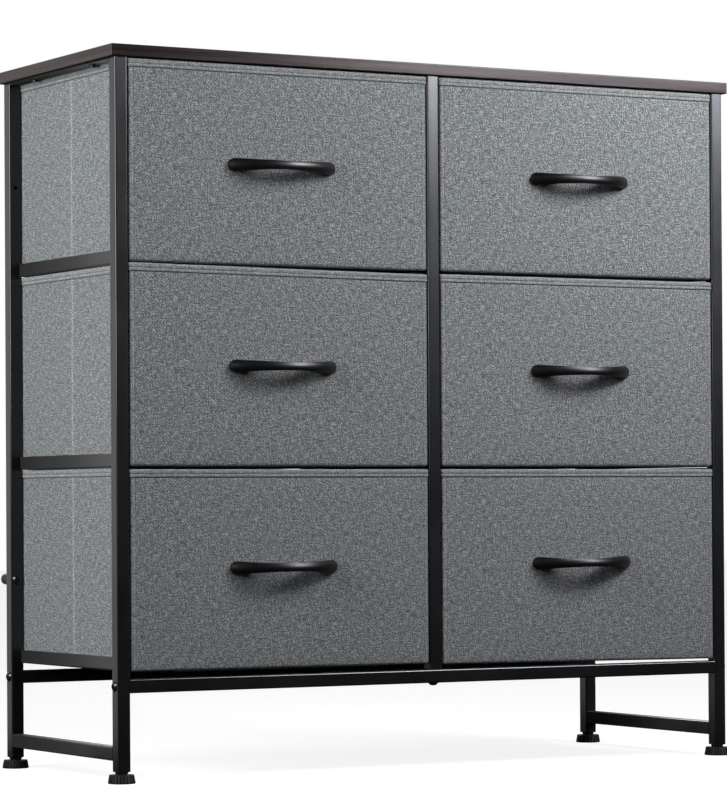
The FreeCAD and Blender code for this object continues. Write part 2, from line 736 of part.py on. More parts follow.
faults = [item.Name for item in doc.Objects if {"Invalid", "Error"} & set(item.State)]
faults += [item.Label for item in parts if item.Shape.isNull() or not item.Shape.isValid()]
if faults:
    raise RuntimeError("failed: " + ", ".join(faults))

os.makedirs("parts", exist_ok=True)
for item in parts:
    item.Shape.exportStep("parts/%s.step" % item.Label)
whole = Part.makeCompound([item.Shape for item in parts]).optimalBoundingBox(False, False)
print("%d nodes, %.1f x %.1f x %.1f mm" % (len(parts), whole.XLength, whole.YLength, whole.ZLength))
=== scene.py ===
# %% [markdown]
# # A dresser with fabric drawers
#
# The real dresser is a powder-coated steel tube frame with a board top and six fabric bins that
# slide on sheet-steel runners. The steel, the board, the handles and the feet arrive as finished
# solids, so this lesson gives them materials. The bins arrive as plain boxes, so they are modelled
# again here as cloth over board, with hems, stitches, creases and a soft outline.
# Everything is in metres, with +Z up and the drawers facing -Y.

import json
import math
import random
from collections import namedtuple

import bpy
import numpy as np
from mathutils import Matrix, Vector

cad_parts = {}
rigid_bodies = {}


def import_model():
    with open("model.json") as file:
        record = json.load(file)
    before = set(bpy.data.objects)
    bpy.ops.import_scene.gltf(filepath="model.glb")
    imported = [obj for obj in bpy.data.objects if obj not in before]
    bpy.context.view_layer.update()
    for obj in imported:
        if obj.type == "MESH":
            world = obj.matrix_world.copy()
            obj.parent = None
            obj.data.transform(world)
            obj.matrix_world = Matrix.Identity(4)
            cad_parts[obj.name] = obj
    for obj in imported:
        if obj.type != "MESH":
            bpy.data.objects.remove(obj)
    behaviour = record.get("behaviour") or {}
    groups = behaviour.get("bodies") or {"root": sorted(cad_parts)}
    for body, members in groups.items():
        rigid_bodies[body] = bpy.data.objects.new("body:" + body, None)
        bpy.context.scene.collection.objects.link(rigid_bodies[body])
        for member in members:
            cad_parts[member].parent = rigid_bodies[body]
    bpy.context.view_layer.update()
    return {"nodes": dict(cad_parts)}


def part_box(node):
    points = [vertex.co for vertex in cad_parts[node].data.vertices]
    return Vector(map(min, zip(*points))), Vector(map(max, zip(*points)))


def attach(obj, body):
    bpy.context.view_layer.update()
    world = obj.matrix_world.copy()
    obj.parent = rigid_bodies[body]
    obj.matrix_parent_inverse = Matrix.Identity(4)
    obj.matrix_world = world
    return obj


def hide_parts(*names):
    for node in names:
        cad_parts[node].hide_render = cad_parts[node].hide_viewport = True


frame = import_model()
MM = 0.001

# %% [markdown]
# ## Two helpers for materials
#
# Colours are easiest to pick as sRGB hex values, but shaders work in linear light, so one function
# converts them. Shader nodes could each get a function of their own. A single one that adds any
# node, sets its properties and then links or fills its inputs keeps every material short.

# %% Colour and node helpers
def colour(hex_code):
    """An sRGB hex value as linear RGBA."""
    parts = [int(hex_code[start:start + 2], 16) / 255 for start in (1, 3, 5)]
    linear = [
        part / 12.92 if part <= 0.04045 else ((part + 0.055) / 1.055) ** 2.4 for part in parts]
    return (*linear, 1.0)


def add(tree, kind, inputs=None, **settings):
    """Add a node: settings are its properties, inputs are sockets to link or values to set."""
    node = tree.nodes.new(kind)
    for name, setting in settings.items():
        setattr(node, name, setting)
    for name, source in (inputs or {}).items():
        if isinstance(source, bpy.types.NodeSocket):
            tree.links.new(source, node.inputs[name])
        else:
            node.inputs[name].default_value = source
    return node


def new_material(name, **constants):
    """A material with one Principled shader, whose plain numbers go straight on its sockets."""
    material = bpy.data.materials.new(name)
    material.use_nodes = True
    tree = material.node_tree
    tree.nodes.clear()
    shader = add(tree, "ShaderNodeBsdfPrincipled", constants)
    add(tree, "ShaderNodeOutputMaterial", {"Surface": shader.outputs["BSDF"]})
    return material, tree, shader


def noise(tree, place, size_mm, detail=2.0, roughness=0.5, turn=(0, 0, 0)):
    """Noise whose blobs are size_mm long on each axis, from coordinates in metres."""
    turned = any(turn)
    scale = [size * MM if turned else 1 / (size * MM) for size in size_mm]
    mapping = add(tree, "ShaderNodeMapping", {"Vector": place, "Rotation": turn, "Scale": scale},
                  vector_type="TEXTURE" if turned else "POINT")
    texture = add(tree, "ShaderNodeTexNoise", {
        "Vector": mapping.outputs["Vector"], "Scale": 1.0,
        "Detail": detail, "Roughness": roughness})
    return texture.outputs["Fac"]


def ramp(tree, source, stops):
    """A colour ramp through (position, hex) stops."""
    node = add(tree, "ShaderNodeValToRGB", {"Fac": source})
    elements = node.color_ramp.elements
    while len(elements) < len(stops):
        elements.new(0.5)
    for element, (position, hex_code) in zip(elements, stops):
        element.position = position
        element.color = colour(hex_code)
    return node.outputs["Color"]


def maths(tree, operation, *terms):
    """A Math node on numbers or sockets."""
    return add(tree, "ShaderNodeMath", dict(enumerate(terms)), operation=operation).outputs["Value"]


def spread(tree, source, low, high, to_low=0.0, to_high=1.0):
    """Stretch the range low..high to another, and clamp it there."""
    node = add(tree, "ShaderNodeMapRange", {
        "Value": source, "From Min": low, "From Max": high, "To Min": to_low, "To Max": to_high})
    return node.outputs["Result"]


def mix(tree, factor, first, second, blend="MIX"):
    """Mix two colours: by a factor, or by another blend mode."""
    node = add(tree, "ShaderNodeMix", {0: factor, 6: first, 7: second},
               data_type="RGBA", blend_type=blend)
    return node.outputs[2]


def bump(tree, shader, height, depth_mm, strength=1.0):
    """Drive the shader's normal with a height field that is depth_mm deep."""
    node = add(tree, "ShaderNodeBump", {
        "Height": height, "Strength": strength, "Distance": depth_mm * MM})
    tree.links.new(node.outputs["Normal"], shader.inputs["Normal"])


print("mid grey #808080 is", round(colour("#808080")[0], 3), "in linear light")

# %% [markdown]
# ## The camera
#
# The view is from the left of the front and low down, at the height of the lowest drawers, through
# a long lens, so the uprights stay nearly parallel. A target object could aim the camera. Writing
# its place, heading, tilt and roll as four named values is shorter, and nothing is left to follow.

# %% Camera
CAMERA_PLACE = Vector((-2.0516, -3.5892, 0.2951))
HEADING = math.radians(29.637)
TILT = math.radians(0.702)
ROLL = math.radians(-0.35)
SENSOR_WIDTH = 36  # mm, as the focal length is
FOCAL_LENGTH = 176.65
SHIFT_UP = 0.0862  # of the sensor's width
FARTHEST = 50  # metres

forward = Vector((
    math.sin(HEADING) * math.cos(TILT), math.cos(HEADING) * math.cos(TILT), math.sin(TILT)))
level_right = Vector((math.cos(HEADING), -math.sin(HEADING), 0))
level_up = level_right.cross(forward)
right = math.cos(ROLL) * level_right + math.sin(ROLL) * level_up
up = math.cos(ROLL) * level_up - math.sin(ROLL) * level_right

lens = bpy.data.cameras.new("View")
lens.sensor_fit = "HORIZONTAL"
lens.sensor_width = SENSOR_WIDTH
lens.lens = FOCAL_LENGTH
lens.shift_y = SHIFT_UP
lens.clip_end = FARTHEST
camera = bpy.data.objects.new("View", lens)
bpy.context.scene.collection.objects.link(camera)
turn = Matrix((right, up, -forward)).transposed().to_4x4()
camera.matrix_world = Matrix.Translation(CAMERA_PLACE) @ turn
bpy.context.scene.camera = camera
print("camera", round(CAMERA_PLACE.length, 2), "m from the dresser")

# %% [markdown]
# ## The studio
#
# Black metal and dark wood show mostly what they reflect, so the room matters more than the lamps'
# strength. A white room lights everything evenly, but leaves black steel grey on every side. This
# one is white behind the dresser, grey at its sides and dark in front of it, so the tube's sides
# mirror the white and its front faces stay black. To cloth the room is only a weak, even light.

# %% Studio room
ROOM_WHITE = 1.0  # to the camera
ROOM_DIM = 0.045  # to matt surfaces
ROOM_DARK, ROOM_SIDE, ROOM_MIRROR = 0.025, 0.25, 0.84  # in reflections: in front, beside, behind
DARK_TO_SIDE = (-0.1, 0.3)  # a direction's Y: -1 in front, 1 behind
SIDE_TO_MIRROR = (0.55, 0.85)

world = bpy.data.worlds.new("Studio room")
bpy.context.scene.world = world
world.use_nodes = True
tree = world.node_tree
tree.nodes.clear()
direction = add(tree, "ShaderNodeTexCoord").outputs["Generated"]
across = add(tree, "ShaderNodeSeparateXYZ", {"Vector": direction})
mirrored = maths(
    tree, "ADD", spread(tree, across.outputs["Y"], *DARK_TO_SIDE, ROOM_DARK, ROOM_SIDE),
    spread(tree, across.outputs["Y"], *SIDE_TO_MIRROR, 0.0, ROOM_MIRROR - ROOM_SIDE))
path = add(tree, "ShaderNodeLightPath")
seen = maths(tree, "MAXIMUM", path.outputs["Is Camera Ray"], path.outputs["Is Transmission Ray"])
lit = add(tree, "ShaderNodeMix", {0: path.outputs["Is Glossy Ray"], 2: ROOM_DIM, 3: mirrored})
shown = add(tree, "ShaderNodeMix", {0: seen, 2: lit.outputs[0], 3: ROOM_WHITE})
background = add(tree, "ShaderNodeBackground", {
    "Color": (1, 1, 1, 1), "Strength": shown.outputs[0]})
add(tree, "ShaderNodeOutputWorld", {"Surface": background.outputs["Background"]})
bpy.context.scene.view_settings.view_transform = "Standard"
print("room:", len(tree.nodes), "nodes")

# %% [markdown]
# ## The lamps
#
# Two softboxes light the cloth: a near one at the front right, from above, and a wide one at the
# left. Polished edges need lamps of their own. A distant panel at the front right is mirrored in
# the upper posts and the top's edge, and fades down the posts. Another, low at the left, draws the
# bright line along the rounded corners. Neither gives matt light, so the cloth's tone isn't upset.


# %% Softboxes
def softbox(name, place, target, width, height, watts, only_mirrored=False, tint="#ffffff"):
    """A rectangular lamp that faces a target: sizes and places in metres."""
    lamp = bpy.data.lights.new(name, "AREA")
    lamp.shape = "RECTANGLE"
    lamp.size = width
    lamp.size_y = height
    lamp.energy = watts
    lamp.color = colour(tint)[:3]
    holder = bpy.data.objects.new(name, lamp)
    bpy.context.scene.collection.objects.link(holder)
    aim = Vector(target) - Vector(place)
    facing = aim.to_track_quat("-Z", "Y").to_matrix().to_4x4()
    holder.matrix_world = Matrix.Translation(place) @ facing
    holder.visible_diffuse = not only_mirrored
    return holder


softbox("front_softbox", (0.66, -0.92, 1.22), (0.15, -0.15, 0.90), 0.7, 0.5, 17.6)
softbox("left_softbox", (-1.9, -0.45, 0.98), (-0.4, 0.0, 0.66), 1.0, 1.0, 38)
softbox("right_edge_panel", (2.73, -3.85, 2.02), (0.15, -0.15, 0.6), 1.1, 1.2, 205,
        only_mirrored=True, tint="#f2f2ff")
softbox("left_edge_panel", (-3.43, -1.87, 1.1), (-0.39, -0.15, 0.6), 0.7, 1.2, 14,
        only_mirrored=True)
print("lamps", [item.name for item in bpy.data.lights])

# %% [markdown]
# ## The floor
#
# A pale floor that is simply lit comes out grey, and lighting it harder would burn out the dresser.
# So to the camera the floor glows and still takes the lamps' light, which keeps the soft shadow
# under the feet. It throws little light back up, so the lowest drawers stay the darkest. In
# reflections it is pale far behind the dresser, and dark in front and close by, where the dresser
# shades it. It is a sheet far larger than the picture, so its edge never shows.

# %% Floor
FLOOR_REACH = 12.0
FLOOR_GLOW = 0.88
FRONT_TO_BACK = (-0.5, 0.4)  # in reflections the floor goes from dark to pale along Y, in metres,
CLOSE_TO_FAR = (0.6, 1.05)  # and from shaded to open with the distance from the middle
FLOOR_SHADED, FLOOR_OPEN = 0.05, 0.52
corners = [(-FLOOR_REACH, -FLOOR_REACH, 0), (FLOOR_REACH, -FLOOR_REACH, 0),
           (FLOOR_REACH, FLOOR_REACH, 0), (-FLOOR_REACH, FLOOR_REACH, 0)]
floor_mesh = bpy.data.meshes.new("floor")
floor_mesh.from_pydata(corners, [], [(0, 1, 2, 3)])
floor = bpy.data.objects.new("floor", floor_mesh)
bpy.context.scene.collection.objects.link(floor)

floor_paint = bpy.data.materials.new("Pale studio floor")
floor_paint.use_nodes = True
tree = floor_paint.node_tree
tree.nodes.clear()
path = add(tree, "ShaderNodeLightPath")
place = add(tree, "ShaderNodeTexCoord").outputs["Object"]
across = add(tree, "ShaderNodeSeparateXYZ", {"Vector": place})
distance = add(tree, "ShaderNodeVectorMath", {0: place}, operation="LENGTH").outputs["Value"]
mirrored = maths(
    tree, "MULTIPLY", spread(tree, across.outputs["Y"], *FRONT_TO_BACK, ROOM_DARK, 1.0),
    spread(tree, distance, *CLOSE_TO_FAR, FLOOR_SHADED, FLOOR_OPEN))
lit_paint = add(tree, "ShaderNodeBsdfDiffuse", {"Color": colour("#9a9a9a")})
dull_paint = add(tree, "ShaderNodeBsdfDiffuse", {"Color": colour("#3c3c3c")})
to_eye = add(tree, "ShaderNodeEmission", {"Color": (1, 1, 1, 1), "Strength": FLOOR_GLOW})
to_gloss = add(tree, "ShaderNodeEmission", {"Color": (1, 1, 1, 1), "Strength": mirrored})
eye_view = add(tree, "ShaderNodeAddShader", {0: lit_paint.outputs[0], 1: to_eye.outputs[0]})
not_eye = add(tree, "ShaderNodeMixShader", {
    0: path.outputs["Is Glossy Ray"], 1: dull_paint.outputs[0], 2: to_gloss.outputs[0]})
whole = add(tree, "ShaderNodeMixShader", {
    0: path.outputs["Is Camera Ray"], 1: not_eye.outputs[0], 2: eye_view.outputs[0]})
add(tree, "ShaderNodeOutputMaterial", {"Surface": whole.outputs[0]})
floor.data.materials.append(floor_paint)
print("floor", 2 * FLOOR_REACH, "m across")

# %% [markdown]
# ## Powder-coated steel
#
# The tube, runners, stretchers and strips are mild steel in black polyester powder, cured at about
# 200 degrees. The eye sees a satin black with a very fine orange peel. The peel is about 0.6 mm
# across, under a pixel, so it is drawn at 1.5 mm to show at all. A plain black Principled shader
# would look like paper here: the coat needs its reflection and a little unevenness in roughness.
# The runners, strips and stretchers hang behind the posts in the spray booth. Their coat is thinner
# and drier towards the back, so it is rougher there than on the posts.

# %% Powder-coated steel
DRY_FROM, DRY_TO = -0.10, 0.10  # along Y, in metres


def powder_coat(name, smooth, rough, dry=None):
    """Black powder coat: smooth to rough in slow clouds, and as rough as dry at the back."""
    material, tree, shader = new_material(name, **{"IOR": 1.5})
    place = add(tree, "ShaderNodeTexCoord").outputs["Object"]
    cloud = noise(tree, place, (60, 60, 60), detail=3)
    peel = noise(tree, place, (1.5, 1.5, 1.5), detail=1)
    coat = ramp(tree, cloud, [(0.3, "#101011"), (0.7, "#161618")])
    tree.links.new(coat, shader.inputs["Base Color"])
    finish = spread(tree, cloud, 0.3, 0.7, smooth, rough)
    if dry:
        depth = add(tree, "ShaderNodeSeparateXYZ", {"Vector": place}).outputs["Y"]
        drying = spread(tree, depth, DRY_FROM, DRY_TO, smooth, dry)
        finish = maths(tree, "MAXIMUM", finish, drying)
    tree.links.new(finish, shader.inputs["Roughness"])
    bump(tree, shader, peel, 0.02, 0.4)
    return material


steel = powder_coat("Powder-coated steel tube", 0.18, 0.21)
shaded_steel = powder_coat("Powder-coated steel with dry spray", 0.20, 0.24, dry=1.0)
print("coats:", steel.name, "and", shaded_steel.name)

# %% [markdown]
# ## Wood-grain film on board
#
# The top is particle board in a printed melamine film, nearly black, with straight grain along its
# length and the same film on its edges. Real veneer would need knots and figure. Printed film needs
# only long fine streaks, a slow change of tone, and pores pressed into it. The grain turns to run
# along the short edges at the two ends, because an edge band is laid along the edge. The underside
# has a matt backing paper instead of the glazed film. The upper face has a dull, scratch-proof
# film, which also keeps the low lamp in front from being mirrored in it when seen from behind.

# %% Wood-grain film
FACES_THAT_WAY = 0.7  # the least part of a normal that counts as facing along an axis
EDGE_GLOSS = (0.13, 0.18)
SCRATCH_PROOF = 0.92
PORE_STRENGTH = 0.6

film, tree, shader = new_material("Dark wood-grain melamine film", **{
    "IOR": 1.5, "Specular IOR Level": 0.2, "Specular Tint": colour("#fff2ee")})
place = add(tree, "ShaderNodeTexCoord").outputs["Object"]
normal = add(tree, "ShaderNodeNewGeometry").outputs["Normal"]
facing = add(tree, "ShaderNodeSeparateXYZ", {"Vector": normal}).outputs
at_end = maths(tree, "GREATER_THAN", maths(tree, "ABSOLUTE", facing["X"]), FACES_THAT_WAY)
underneath = maths(tree, "LESS_THAN", facing["Z"], -FACES_THAT_WAY)
on_top = maths(tree, "GREATER_THAN", facing["Z"], FACES_THAT_WAY)


def along_grain(long_mm, fine_mm, detail):
    """Streaks that run along X on the top and the long edges, and along Y at the ends."""
    long_way = noise(tree, place, (long_mm, fine_mm, fine_mm), detail=detail)
    end_way = noise(tree, place, (fine_mm, long_mm, fine_mm), detail=detail)
    return add(tree, "ShaderNodeMix", {0: at_end, 2: long_way, 3: end_way}).outputs[0]


tone = along_grain(420, 26, 3)
streaks = along_grain(160, 2.6, 4)
pores = along_grain(22, 0.9, 1)
grain = maths(
    tree, "ADD", maths(tree, "MULTIPLY", tone, 0.45), maths(tree, "MULTIPLY", streaks, 0.55))
wood = ramp(tree, grain, [(0.36, "#181312"), (0.50, "#26201e"), (0.64, "#382f2c")])
pore_mask = spread(tree, pores, 0.60, 0.72)
pored = mix(tree, maths(tree, "MULTIPLY", pore_mask, PORE_STRENGTH), wood, colour("#141010"))
tree.links.new(pored, shader.inputs["Base Color"])
satin = spread(tree, grain, 0.35, 0.65, *EDGE_GLOSS)
dull_faces = maths(tree, "MAXIMUM", underneath, maths(tree, "MULTIPLY", on_top, SCRATCH_PROOF))
tree.links.new(maths(tree, "MAXIMUM", satin, dull_faces), shader.inputs["Roughness"])
bump(tree, shader, maths(tree, "SUBTRACT", streaks, pore_mask), 0.04, 0.10)
print("film:", len(tree.nodes), "nodes")

# %% [markdown]
# ## The linen-look cloth
#
# The bins are covered in a non-woven or polyester cloth made to look like heathered linen: light
# and dark grey yarns with slubs both ways and a faint twill. One noise would look like felt. Four
# do it: slubs along the warp, slubs along the weft, a diagonal slant, and a fine pepper of fibres.
# Two crossed waves add the twill's regular lines. The yarn is about 0.6 mm. It is drawn at 1.4 mm,
# as coarse as it needs to be to show. The cloth is bent round corners, so the pattern follows the
# piece's UV map, laid out in metres. The mesh itself says where the cloth collects shade, as in the
# hem's groove, and where a paler colour is painted, along the hem band, the folds and the edges.

# %% Linen-look cloth
YARN_MM = 1.4
SLUB_MM = 6 * YARN_MM
SLANT, PEPPER, TWILL_LINES = 0.7, 2.0, 0.13  # weights, where the warp and the weft each have 1
TWILL_SCALE = 160
CLOTH_GAIN = 1.5
PALE_MIX, SHADED = 0.30, 0.85  # how far pale and shade go


def weave(name, dark, middle, light):
    """A heathered cloth from three yarn colours."""
    material, tree, shader = new_material(name, **{
        "Roughness": 0.92, "IOR": 1.4, "Sheen Weight": 0.12, "Sheen Roughness": 0.5})
    place = add(tree, "ShaderNodeUVMap", uv_map="cloth").outputs["UV"]
    warp = noise(tree, place, (YARN_MM, SLUB_MM, 1), detail=2)
    weft = noise(tree, place, (SLUB_MM, YARN_MM, 1), detail=2)
    slant = noise(tree, place, (1.1 * YARN_MM, 4.5 * YARN_MM, 1), detail=1,
                  turn=(0, 0, math.radians(45)))
    pepper = noise(tree, place, (YARN_MM, YARN_MM, 1), detail=1)
    patches = noise(tree, place, (26, 32, 1), detail=2)
    lines = []
    for lean in (1, -1):
        leaning = add(tree, "ShaderNodeMapping", {
            "Vector": place, "Scale": (lean * TWILL_SCALE, TWILL_SCALE, TWILL_SCALE)})
        wave = add(tree, "ShaderNodeTexWave", {
            "Vector": leaning.outputs["Vector"], "Scale": 1.0, "Distortion": 2.5,
            "Detail": 1.0, "Detail Scale": 1.2}, wave_type="BANDS", bands_direction="DIAGONAL")
        lines.append(wave.outputs["Fac"])
    total = maths(tree, "ADD", warp, weft)
    crossed = maths(tree, "ADD", *lines)
    for part, weight in ((slant, SLANT), (pepper, PEPPER), (crossed, TWILL_LINES)):
        total = maths(tree, "ADD", total, maths(tree, "MULTIPLY", part, weight))
    yarn = maths(tree, "DIVIDE", total, 2 + SLANT + PEPPER + 2 * TWILL_LINES)
    cloth = ramp(tree, yarn, [(0.38, dark), (0.50, middle), (0.62, light)])
    tint = ramp(tree, patches, [(0.35, "#c9cdcd"), (0.50, "#cccccc"), (0.65, "#cecbcd")])
    cloth = mix(tree, 1.0, cloth, tint, "MULTIPLY")
    cloth = mix(tree, 1.0, cloth, (CLOTH_GAIN, CLOTH_GAIN, CLOTH_GAIN, 1), "MULTIPLY")
    shade = add(tree, "ShaderNodeAttribute", attribute_name="shade").outputs["Fac"]
    pale = add(tree, "ShaderNodeAttribute", attribute_name="pale").outputs["Fac"]
    # a paler colour is painted where the pale mark says: along the hem band, the side folds and the
    # front's edges
    cloth = mix(tree, maths(tree, "MULTIPLY", pale, PALE_MIX), cloth, colour("#c9cdcf"))
    cloth = mix(tree, maths(tree, "MULTIPLY", shade, SHADED), cloth, colour("#16181a"))
    tree.links.new(cloth, shader.inputs["Base Color"])
    bump(tree, shader, yarn, 0.6, 0.5)
    return material


linen = weave("Heathered linen-look polyester cloth", "#37393b", "#75797b", "#c2c5c6")
print("linen:", len(linen.node_tree.nodes), "nodes")

# %% [markdown]
# ## Lining, board cloth and thread
#
# Inside, the bins are lined with thermally bonded non-woven polypropylene, which has rows of tiny
# pressed points and no yarn. The base boards are covered in the same cloth in a darker grey. The
# pressed points are 1 mm apart on the real cloth and 2 mm here, to show. The hems are sewn with a
# spun polyester thread, darker than the cloth and a little mottled by its twist.

# %% Bonded non-woven cloth
POINTS_APART = 2 * MM


def bonded(name, hex_low, hex_high, on_uv=True):
    """Non-woven cloth with pressed points: on the piece's UV map, or on Object coordinates."""
    material, tree, shader = new_material(
        name, **{"Roughness": 0.85, "IOR": 1.45, "Sheen Weight": 0.08})
    if on_uv:
        place = add(tree, "ShaderNodeUVMap", uv_map="cloth").outputs["UV"]
    else:
        place = add(tree, "ShaderNodeTexCoord").outputs["Object"]
    spacing = add(tree, "ShaderNodeMapping", {"Vector": place, "Scale": [1 / POINTS_APART] * 3})
    points = add(tree, "ShaderNodeTexVoronoi", {
        "Vector": spacing.outputs["Vector"], "Scale": 1.0, "Randomness": 0.15})
    dents = spread(tree, points.outputs["Distance"], 0.1, 0.35)
    fibres = noise(tree, place, (6, 6, 6), detail=5, roughness=0.7)
    shades = ramp(tree, fibres, [(0.3, hex_low), (0.7, hex_high)])
    tree.links.new(shades, shader.inputs["Base Color"])
    bump(tree, shader, maths(tree, "ADD", dents, fibres), 0.15, 0.6)
    return material


lining = bonded("Grey non-woven polypropylene lining", "#4d4f51", "#626466")
under_cloth = bonded("Black non-woven polypropylene underside", "#1c1c1e", "#29292b")
board_cloth = bonded("Non-woven cloth over base board", "#3f4143", "#505254", on_uv=False)
print("non-woven cloths:", lining.name, under_cloth.name, board_cloth.name, sep="\n  ")

# %% Thread
thread, tree, shader = new_material(
    "Spun polyester thread", **{"Roughness": 0.7, "Sheen Weight": 0.2})
place = add(tree, "ShaderNodeTexCoord").outputs["Object"]
twist = noise(tree, place, (0.8, 0.8, 0.8), detail=1)
tree.links.new(
    ramp(tree, twist, [(0.35, "#303234"), (0.65, "#54575a")]), shader.inputs["Base Color"])
print("thread:", thread.name)

# %% [markdown]
# ## Moulded plastics and rubber
#
# The handles are injection-moulded ABS with a satin surface, which shows a soft streak along their
# crowned faces. The feet are coarser, matt polypropylene, and the bumpers are black rubber.

# %% Plastics and rubber
def moulded(name, hex_low, hex_high, roughness, grain_mm, depth_mm, gloss=0.5):
    """A moulded surface: nearly one colour, with the mould's fine texture."""
    material, tree, shader = new_material(name, **{"IOR": 1.53, "Specular IOR Level": gloss})
    place = add(tree, "ShaderNodeTexCoord").outputs["Object"]
    flow = noise(tree, place, (25, 25, 25), detail=2)
    grit = noise(tree, place, (grain_mm, grain_mm, grain_mm), detail=2)
    tree.links.new(ramp(tree, flow, [(0.3, hex_low), (0.7, hex_high)]), shader.inputs["Base Color"])
    finish = spread(tree, grit, 0.3, 0.7, roughness - 0.04, roughness + 0.04)
    tree.links.new(finish, shader.inputs["Roughness"])
    bump(tree, shader, grit, depth_mm, 0.5)
    return material


handle_abs = moulded("Satin black ABS", "#08080a", "#0c0c0f", 0.34, 1.2, 0.015, gloss=0.3)
foot_pp = moulded("Matt black polypropylene", "#111112", "#161618", 0.66, 0.9, 0.02, gloss=0.25)
rubber = moulded("Black natural rubber", "#101010", "#181818", 0.62, 1.0, 0.03)
print("moulded:", handle_abs.name, foot_pp.name, rubber.name, sep="\n  ")

# %% [markdown]
# ## Plated fasteners
#
# The bolts are black zinc, a thin glossy coat over steel, so to the eye they are no longer metal.
# The hidden screws and studs are plain zinc; the screws under the top are darkened as painted
# shade.
# The plugs in the tubes are bare steel, oiled. All of them have a plating bath's faint mottling.

# %% Plated steel
def plated(name, hex_low, hex_high, metallic, roughness):
    """Plated steel: a metal with a mottled coat, or a dark conversion coat over it."""
    material, tree, shader = new_material(name, **{"Metallic": metallic})
    place = add(tree, "ShaderNodeTexCoord").outputs["Object"]
    mottle = noise(tree, place, (3, 3, 3), detail=3)
    shades = ramp(tree, mottle, [(0.3, hex_low), (0.7, hex_high)])
    tree.links.new(shades, shader.inputs["Base Color"])
    finish = spread(tree, mottle, 0.3, 0.7, roughness - 0.05, roughness + 0.05)
    tree.links.new(finish, shader.inputs["Roughness"])
    bump(tree, shader, mottle, 0.01, 0.4)
    return material


black_zinc = plated("Black zinc on steel", "#0d0d0e", "#161617", 0.0, 0.18)
bright_zinc = plated("Bright zinc on steel", "#8f8c84", "#a8a59b", 1.0, 0.32)
# painted shade: the screws under the top are coloured dark grey for the shadow they sit in
shade_darkened_zinc = plated("Zinc darkened as painted shade", "#2e2c2a", "#403d3a", 1.0, 0.45)
dull_steel = plated("Oiled steel plug", "#2b2a29", "#3a3937", 1.0, 0.45)
print("plated:", black_zinc.name, bright_zinc.name, shade_darkened_zinc.name, dull_steel.name, sep="\n  ")

# %% [markdown]
# ## Dress the solids
#
# Each solid that already has the right shape keeps its mesh and gets the material of what it is
# made of. The names of the solids say what they are, so a short list of name endings is enough.

# %% Materials on the solids
FINISHES = [
    ("tabletop", film), ("tabletop_screws", shade_darkened_zinc), ("frame_bolts", black_zinc),
    ("rail_and_post_plugs", dull_steel), ("foot_inserts", dull_steel), ("wall_bumpers", rubber),
    ("_board", board_cloth), ("_handle", handle_abs), ("_handle_screws", bright_zinc),
    ("_foot_base", foot_pp), ("_foot_stud", bright_zinc), ("_runner", shaded_steel),
    ("_stretcher", shaded_steel), ("_strip", shaded_steel),
]


def finish_of(node):
    """The material of a solid: that of the last matching name, or steel."""
    matches = [material for ending, material in FINISHES if node.endswith(ending)]
    return matches[-1] if matches else steel


dressed = {}
for node, item in frame["nodes"].items():
    if node.endswith("_bin"):
        continue
    material = finish_of(node)
    item.data.materials.clear()
    item.data.materials.append(material)
    dressed[material.name] = dressed.get(material.name, 0) + 1
print("dressed", dressed)

# %% [markdown]
# ## The shape of a bin
#
# A bin is a box of cloth over board: a stiff front, softer sides with a fold down the middle so
# that the bin packs flat, and a hem turned over the rim and stitched. A cloth simulation would
# wrinkle it, but board keeps the real one nearly flat. So the bin is lofted: a closed line round
# the walls is repeated row by row up the outside, over the rim and down the inside, and each row is
# moved in or out by the hem's profile and by the slackness of the wall it crosses.

# %% Sizes of a bin
SIDE_WALL = 3 * MM
FRONT_WALL = 6 * MM
FLOOR_CLOTH = 2 * MM
CORNER = 4 * MM
INNER_CORNER = 2 * MM
BOTTOM_EDGE = 3.5 * MM
GRID = 6.5 * MM
CORNER_STEPS = 6
FOLD_DETAIL = [spot * MM for spot in (-4, -2.2, -1.3, -0.6, 0, 0.6, 1.3, 2.2, 4)]
EDGE_DETAIL = [spot * MM for spot in (1.0, 2.0, 3.2)]
LEFT, FRONT, RIGHT, BACK, ROUNDED = 0, 1, 2, 3, -1


def stations(half, extra):
    """Places from -half to half: a grid, with extra places where the wall needs detail."""
    grid = np.linspace(-half, half, 2 * int(round(half / GRID)) + 1)
    extra = [spot for spot in extra if abs(spot) < half - 0.4 * MM]
    kept = [spot for spot in grid if all(abs(spot - other) > 0.9 * MM for other in extra)]
    return np.array(sorted(kept + extra)) / half


def wall_stations(half_x, half_y):
    """Places along the four walls: closer by the sides' fold and the fronts' edges."""
    sides = stations(half_y, FOLD_DETAIL)
    fronts = stations(
        half_x, [half_x - spot for spot in EDGE_DETAIL] + [spot - half_x for spot in EDGE_DETAIL])
    return [sides, fronts, sides, fronts]


